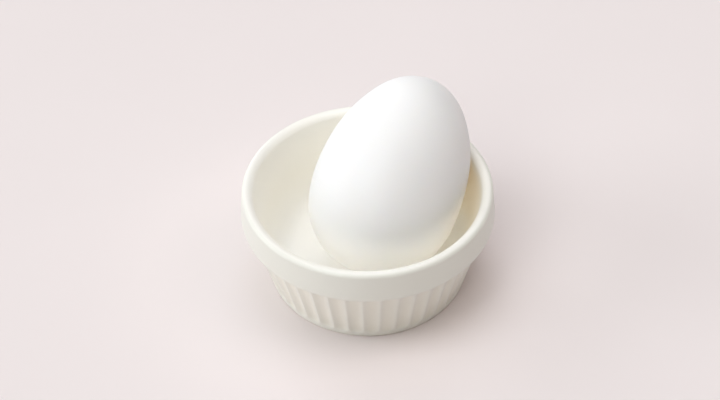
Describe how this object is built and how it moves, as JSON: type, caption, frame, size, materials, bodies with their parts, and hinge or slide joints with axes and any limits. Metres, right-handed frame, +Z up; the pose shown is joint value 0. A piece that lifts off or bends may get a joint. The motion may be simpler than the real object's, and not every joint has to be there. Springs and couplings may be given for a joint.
{
  "type": "boiled egg in ramekin",
  "caption": "Boiled egg lying tipped back in a small round pottery dish with a plain collar and a fluted, tapered side.",
  "frame": {"origin": "on the dish's turning axis, in the plane of the foot ring that it stands on", "axes": "+Z up along the dish's turning axis; -Y towards the side that the picture looks at from above; the egg's narrow end points up towards +X and +Y"},
  "size_m": [0.0714, 0.0714, 0.0548],
  "materials": {
    "glazed_pottery": "gloss",
    "egg_white": "satin"
  },
  "bodies": {
    "root": {"ramekin": "glazed_pottery", "egg": "egg_white"}
  },
  "joints": []
}
